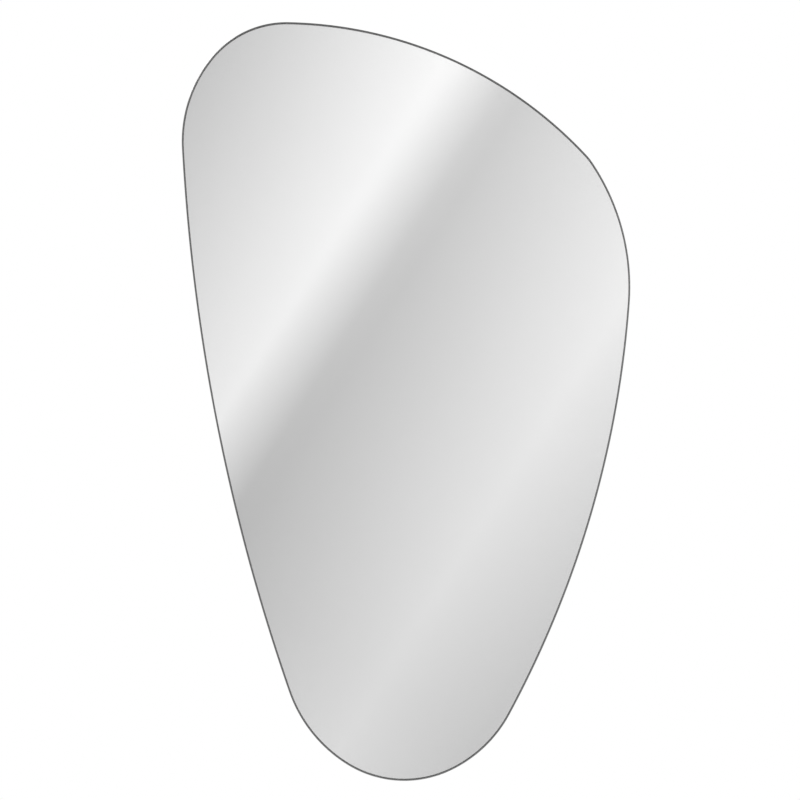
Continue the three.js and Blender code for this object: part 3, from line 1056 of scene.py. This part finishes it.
class MIRROR_OT_add_screws(bpy.types.Operator):
    """Adds the pan-head screws that hold the straps"""

    bl_idname = "mirror.add_screws"
    bl_label = "Strap Screws"
    bl_options = {"REGISTER", "UNDO"}

    sides = 48
    crown_steps = 10
    # Shares of a recess slot's length and width that are left at its foot.
    foot_length = 0.45
    foot_width = 0.8
    # How far the first screw was driven past upright, and each next one past the last, in radians.
    first_turn = 0.4
    next_turn = 0.9

    def profile(self, seat, tip, crown):
        """Half of the screw's section, from the tip to the crown, as (radius, y)."""
        sizes = bpy.context.scene.mirror_hangers
        yield 0, tip
        y = tip + sizes.tip_length
        while y + sizes.pitch < seat:
            yield sizes.core_radius, y
            yield sizes.thread_radius, y + sizes.pitch / 2
            y += sizes.pitch
        yield sizes.core_radius, y
        yield sizes.core_radius, seat
        yield sizes.head_radius, seat
        rim = seat + sizes.head_rim
        for step in range(self.crown_steps):
            angle = step / self.crown_steps * math.pi / 2
            yield sizes.head_radius * math.cos(angle), rim + (crown - rim) * math.sin(angle)
        yield 0, crown

    def add_screw(self, name, low, high, seat):
        profile = self.profile(seat.y, low.y, high.y)
        points = [Vector((seat.x + radius, y, seat.z)) for radius, y in profile]
        piece = add_point(name, points[0])
        for before, after in zip(points, points[1:]):
            push(after - before)
        revolve(seat, self.sides)
        return piece

    def recess(self, crown, along, across):
        """A cutter for one slot of the cross recess, narrower at its foot."""
        sizes = bpy.context.scene.mirror_hangers
        half = along * sizes.recess_span / 2 + across * sizes.recess_slot / 2
        deep = TO_WALL * sizes.recess_depth
        cutter = add_block("recess", crown - half - deep, crown + half + TO_WALL * HAIR_GAP)
        select(cutter, "faces", lambda face: face.normal.y < -SQUARE_NORMAL)
        shares = along * self.foot_length + TO_WALL + across * self.foot_width
        bpy.ops.transform.resize(value=shares, center_override=crown - deep)
        set_down()
        return cutter

    def execute(self, context):
        sizes = context.scene.mirror_hangers
        lift = TO_WALL * (2 * sizes.strap_sheet + sizes.fold_gap)
        seats = [(node, place + lift) for node, place in screw_seats()]
        first_node, first_seat = seats[0]
        low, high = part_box(first_node)
        first = self.add_screw("first_screw", low, high, first_seat)
        crown = Vector((first_seat.x, high.y, first_seat.z))
        cut_away(first, [self.recess(crown, ACROSS, UP), self.recess(crown, UP, ACROSS)])
        ease_edges(first, sizes.screw_ease, angle=50)
        smooth(first, angle=40)
        for count, (node, seat) in enumerate(seats):
            name = node.replace("strap_", "pan_head_")
            angle = self.first_turn + self.next_turn * count
            piece = copy_piece(first, name, seat - first_seat, seat, angle)
            place_steel(piece, "mirror_body", node)
        bpy.data.objects.remove(first)
        return {"FINISHED"}


# ---- Studio ----

# What the mirror and the metal reflect: soft bands, as from long diffusers round the studio, that
# slant by BAND_SLANT degrees. A place runs from 0 to 1 as the sine of a direction across the bands
# goes from BAND_START over BAND_SPAN, and back again beyond. Its two levels are the brightnesses at
# the upper and the lower end of the bands, which BAND_ENDS gives as sines along them.
BAND_SLANT = 32.5
BAND_START = -0.153
BAND_SPAN = 0.2655
BANDS = (
    (0.0, 0.63, 0.53),
    (0.336, 1.03, 0.87),
    (0.356, 1.0, 0.78),
    (0.441, 0.705, 0.505),
    (0.475, 0.665, 0.515),
    (0.805, 0.965, 0.757),
    (1.0, 0.75, 0.61),
)
BAND_PEAK = max(max(levels) for _, *levels in BANDS)
BAND_ENDS = (-0.135, 0.11)
# The dim ceiling and the bright floor, brightest behind the mirror: the height of a direction,
# from -1 straight down to 1 straight up, and the share of the bands' light that comes from there.
# The rear heights count in full where a direction's y is over 1 / REAR_GROWTH, and not at all
# where it is under 0.
FRONT_HEIGHTS = ((-0.6, 1.1), (-0.22, 1.0), (0.35, 1.0), (0.85, 0.2))
REAR_HEIGHTS = ((-0.87, 4.2), (-0.62, 1.1), (-0.22, 1.0), (0.35, 1.0), (0.85, 0.2))
REAR_GROWTH = 5

# Each lamp's name, place, power in watts and diameter.
LAMPS = (
    ("front_key", (-2.0, -2.1, 1.1), 16, 1.8),
    ("front_fill", (2.0, -1.8, 0.1), 20, 1.6),
    ("back_key", (-1.7, 2.1, 1.5), 34, 1.4),
    ("back_fill", (2.0, 1.9, 0.5), 14, 1.6),
)


class MIRROR_OT_set_studio(bpy.types.Operator):
    """Sets up the camera, the pale floor, the lamps and the even light"""

    bl_idname = "mirror.set_studio"
    bl_label = "Studio"
    bl_options = {"REGISTER", "UNDO"}

    sensor_width = 0.036
    floor_sides = 128
    # Where the floor starts to fade and where it has gone, as shares of its radius.
    fade_start = 0.25
    fade_end = 0.95

    def add_camera(self, settings):
        distance = settings.view_width * settings.lens / 1000 / self.sensor_width
        place = Vector(settings.aim) - TO_WALL * distance
        bpy.ops.object.camera_add(location=place, rotation=(math.pi / 2, 0, 0))
        camera = bpy.context.object
        camera.name = "photo_camera"
        camera.data.lens = settings.lens
        camera.data.sensor_width = self.sensor_width * 1000
        bpy.context.scene.camera = camera

    def add_floor(self, settings):
        low, high = CAD_BOX
        set_down()
        bpy.ops.mesh.primitive_circle_add(
            vertices=self.floor_sides,
            radius=settings.floor_radius,
            fill_type="NGON",
            location=((low.x + high.x) / 2, 0, low.z - settings.floor_drop),
        )
        floor = begin("studio_floor")
        set_down()
        floor.data.materials.append(self.floor_finish(settings))
        floor.visible_glossy = False
        floor.visible_transmission = False
        floor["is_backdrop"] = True

    def floor_finish(self, settings):
        """A pale floor that fades into the white background far from the mirror."""
        finish = Finish("studio_floor", {"Roughness": 0.9, "Specular IOR Level": 0.2})
        finish.shades(finish.noise(3), settings.floor, 0.98, 1)
        flat = finish.stretched((1, 1, 0))
        far = finish.node("ShaderNodeVectorMath", {0: flat}, operation="LENGTH").outputs["Value"]
        start, end = (settings.floor_radius * share for share in (self.fade_start, self.fade_end))
        fade = finish.mapped(far, start, end, interpolation_type="SMOOTHSTEP")
        white = finish.node("ShaderNodeEmission", {"Strength": 1.0})
        inputs = {0: fade, 1: finish.shader.outputs[0], 2: white.outputs[0]}
        mixed = finish.node("ShaderNodeMixShader", inputs)
        output = finish.tree.nodes["Material Output"]
        finish.tree.links.new(mixed.outputs[0], output.inputs["Surface"])
        return finish.material

    def add_lamp(self, name, place, power, diameter):
        """A round lamp that faces the mirror, which doesn't reflect the ones in front of it."""
        target = (CAD_BOX[0] + CAD_BOX[1]) / 2
        place = Vector(place)
        turn = (target - place).to_track_quat("-Z", "Y").to_euler()
        bpy.ops.object.light_add(type="AREA", location=place, rotation=turn)
        lamp = bpy.context.object
        lamp.name = name
        lamp.data.energy = power
        lamp.data.shape = "DISK"
        lamp.data.size = diameter
        lamp.visible_camera = False
        if name.startswith("front"):
            lamp.visible_glossy = False
            lamp.visible_transmission = False

    def light_world(self, settings):
        """White to the camera, even light to plain surfaces, and soft bands to what reflects."""
        world = bpy.data.worlds.new("studio")
        bpy.context.scene.world = world
        world.use_nodes = True
        sky = NodeBuilder(world.node_tree)
        sky.tree.nodes.clear()

        def light(colour, strength):
            inputs = {"Color": colour, "Strength": strength}
            return sky.node("ShaderNodeBackground", inputs).outputs[0]

        def either(test, unless, when):
            return sky.node("ShaderNodeMixShader", {0: test, 1: unless, 2: when}).outputs[0]

        def share_at(height, heights):
            """The share of the bands' light at a height."""
            peak = max(share for _, share in heights)
            stops = [((place + 1) / 2, grey(share / peak)) for place, share in heights]
            halved = sky.math("MULTIPLY_ADD", height, 1 / 2, 1 / 2)
            return sky.math("MULTIPLY", sky.ramp(halved, stops), peak)

        def sine_along(axis):
            """The sine of the direction's angle with the plane square to axis."""
            inputs = {0: direction, 1: axis}
            made = sky.node("ShaderNodeVectorMath", inputs, operation="DOT_PRODUCT")
            return made.outputs["Value"]

        direction = sky.node("ShaderNodeTexCoord", {}).outputs["Generated"]
        slant = math.radians(BAND_SLANT)
        across = sine_along((math.cos(slant), 0, -math.sin(slant)))
        along = sine_along((-math.sin(slant), 0, -math.cos(slant)))
        folded = sky.math("PINGPONG", sky.math("SUBTRACT", across, BAND_START), BAND_SPAN)
        place = sky.math("DIVIDE", folded, BAND_SPAN)
        inputs = {
            "Factor": sky.mapped(along, *BAND_ENDS),
            "A": sky.ramp(place, [(stop, grey(upper / BAND_PEAK)) for stop, upper, _ in BANDS]),
            "B": sky.ramp(place, [(stop, grey(lower / BAND_PEAK)) for stop, _, lower in BANDS]),
        }
        bands = sky.node("ShaderNodeMix", inputs, data_type="RGBA").outputs["Result"]
        parts = sky.node("ShaderNodeSeparateXYZ", {"Vector": direction}).outputs
        inputs = {
            "Factor": sky.math("MULTIPLY", parts["Y"], REAR_GROWTH),
            "A": share_at(parts["Z"], FRONT_HEIGHTS),
            "B": share_at(parts["Z"], REAR_HEIGHTS),
        }
        share = sky.node("ShaderNodeMix", inputs, clamp_factor=True).outputs["Result"]
        reflected = light(bands, sky.math("MULTIPLY", share, BAND_PEAK))
        rays = sky.node("ShaderNodeLightPath", {}).outputs
        shiny = sky.math("MAXIMUM", rays["Is Glossy Ray"], rays["Is Transmission Ray"])
        lit = either(shiny, light(grey(1), settings.ambient), reflected)
        seen = either(rays["Is Camera Ray"], lit, light(grey(1), 1.0))
        sky.node("ShaderNodeOutputWorld", {"Surface": seen})

    def execute(self, context):
        context.scene.view_settings.view_transform = "Standard"
        settings = context.scene.mirror_studio
        self.add_camera(settings)
        self.add_floor(settings)
        for lamp in LAMPS:
            self.add_lamp(*lamp)
        self.light_world(settings)
        return {"FINISHED"}


# ---- Panel and registering ----

OPERATORS = (
    MIRROR_OT_set_studio,
    MIRROR_OT_add_pane,
    MIRROR_OT_add_backing,
    MIRROR_OT_add_bond,
    MIRROR_OT_add_board,
    MIRROR_OT_add_bumpers,
    MIRROR_OT_add_straps,
    MIRROR_OT_add_rings,
    MIRROR_OT_add_screws,
)
GROUPS = {
    "mirror_outline": MirrorOutline,
    "mirror_sizes": MirrorSizes,
    "mirror_hangers": HangerSizes,
    "mirror_bumpers": BumperSizes,
    "mirror_finishes": MirrorFinishes,
    "mirror_studio": StudioSettings,
}


class VIEW3D_PT_irregular_mirror(bpy.types.Panel):
    """Lists the mirror's pieces and their sizes"""

    bl_label = "Irregular Mirror"
    bl_space_type = "VIEW_3D"
    bl_region_type = "UI"
    bl_category = "Mirror"

    def draw(self, context):
        layout = self.layout
        for operator in OPERATORS:
            layout.operator(operator.bl_idname)
        for name, group in GROUPS.items():
            box = layout.box()
            box.label(text=group.__doc__)
            for size in group.__annotations__:
                box.prop(getattr(context.scene, name), size)


CLASSES = (*GROUPS.values(), *OPERATORS, VIEW3D_PT_irregular_mirror)


def register():
    for made in CLASSES:
        bpy.utils.register_class(made)
    for name, group in GROUPS.items():
        setattr(bpy.types.Scene, name, PointerProperty(type=group))


def unregister():
    for name in GROUPS:
        delattr(bpy.types.Scene, name)
    for made in reversed(CLASSES):
        bpy.utils.unregister_class(made)


def write_sizes():
    """Puts the CAD model's box and the visual model's box side by side; the result is not kept."""
    boxes = {"cad": CAD_BOX, "visual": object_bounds()}
    {name: [list(corner) for corner in box] for name, box in boxes.items()}


def main():
    register()
    bpy.ops.mirror.set_studio()
    bpy.ops.mirror.add_pane()
    bpy.ops.mirror.add_backing()
    bpy.ops.mirror.add_bond()
    bpy.ops.mirror.add_board()
    bpy.ops.mirror.add_bumpers()
    bpy.ops.mirror.add_straps()
    bpy.ops.mirror.add_rings()
    bpy.ops.mirror.add_screws()
    write_sizes()


if __name__ == "__main__":
    main()
